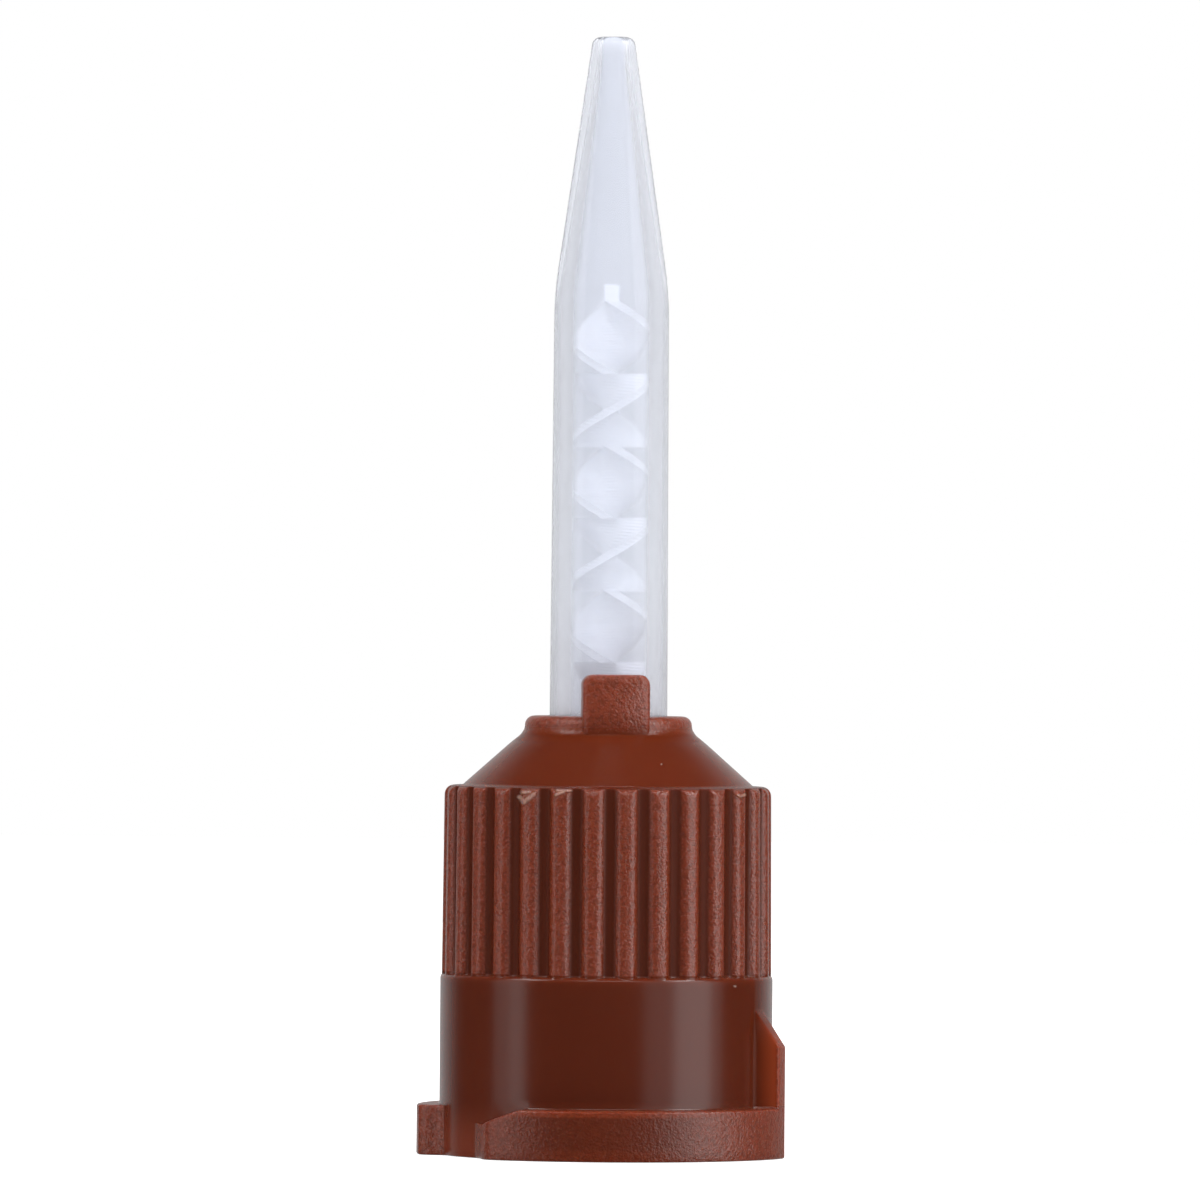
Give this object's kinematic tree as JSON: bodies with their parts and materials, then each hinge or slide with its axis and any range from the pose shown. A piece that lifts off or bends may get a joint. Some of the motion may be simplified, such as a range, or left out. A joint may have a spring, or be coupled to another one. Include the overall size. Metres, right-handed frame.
{
  "type": "dental mixing tip",
  "caption": "Slim translucent mixing nozzle with a helical element inside and a ribbed brown bayonet collar that turns a quarter turn on it.",
  "frame": {"origin": "on the nozzle's axis, in the plane of the collar's open end, which is the end that goes on the syringe", "axes": "+Z runs along the axis towards the outlet, -Y is the side that the picture shows, with the tab almost on it, and +X is to the right of the picture"},
  "size_m": [0.0125, 0.0128, 0.038],
  "materials": {
    "collar_brown": "moulded brown plastic, fine grain on the ribs, lugs, ring and tab, semi-gloss on the skirt and cone",
    "nozzle_translucent": "cloudy translucent plastic with a faint blue cast",
    "element_white": "plain white moulded plastic"
  },
  "bodies": {
    "nozzle": {"nozzle": "nozzle_translucent", "mixing_element": "element_white"},
    "collar": {"collar": "collar_brown"}
  },
  "joints": [
    {"name": "collar_turn", "type": "hinge", "parent": "nozzle", "child": "collar", "pos_m": [0, 0, 0.0143], "axis": [0, 0, -1], "range_deg": [0, 90]}
  ]
}
